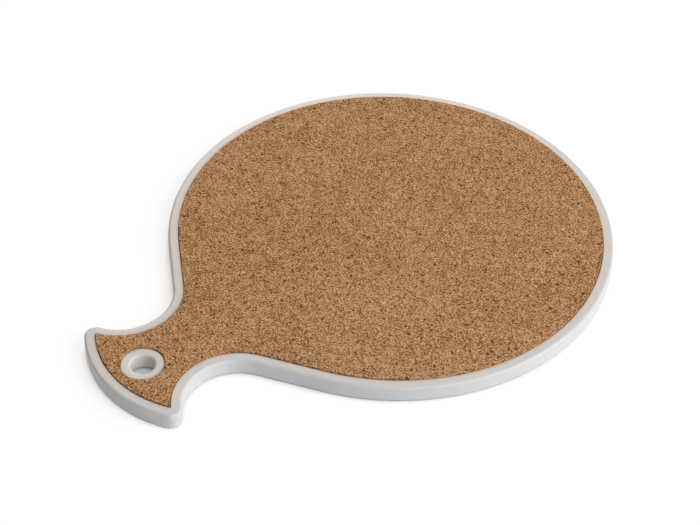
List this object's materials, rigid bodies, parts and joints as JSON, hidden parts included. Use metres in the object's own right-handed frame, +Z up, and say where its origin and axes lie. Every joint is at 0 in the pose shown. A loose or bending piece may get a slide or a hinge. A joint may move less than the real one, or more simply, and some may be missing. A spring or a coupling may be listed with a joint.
{
  "type": "trivet",
  "caption": "Round cork-faced trivet in a white rimmed tray with a flared handle, a hanging hole and low non-slip pads underneath.",
  "frame": {"origin": "middle of the footprint, on the table", "axes": "handle towards -Y, +Z up from the table, mirror plane X = 0"},
  "size_m": [0.2, 0.254, 0.0089],
  "materials": {
    "tray_plastic": "satin moulded white plastic",
    "cork": "sanded fine-grain agglomerated cork",
    "film": "double-sided adhesive film",
    "pad_rubber": "soft grey silicone rubber"
  },
  "bodies": {
    "root": {"tray": "tray_plastic", "cork_mat": "cork", "bond_film": "film", "pad_far": "pad_rubber", "pad_left": "pad_rubber", "pad_right": "pad_rubber", "pad_handle": "pad_rubber"}
  },
  "joints": []
}
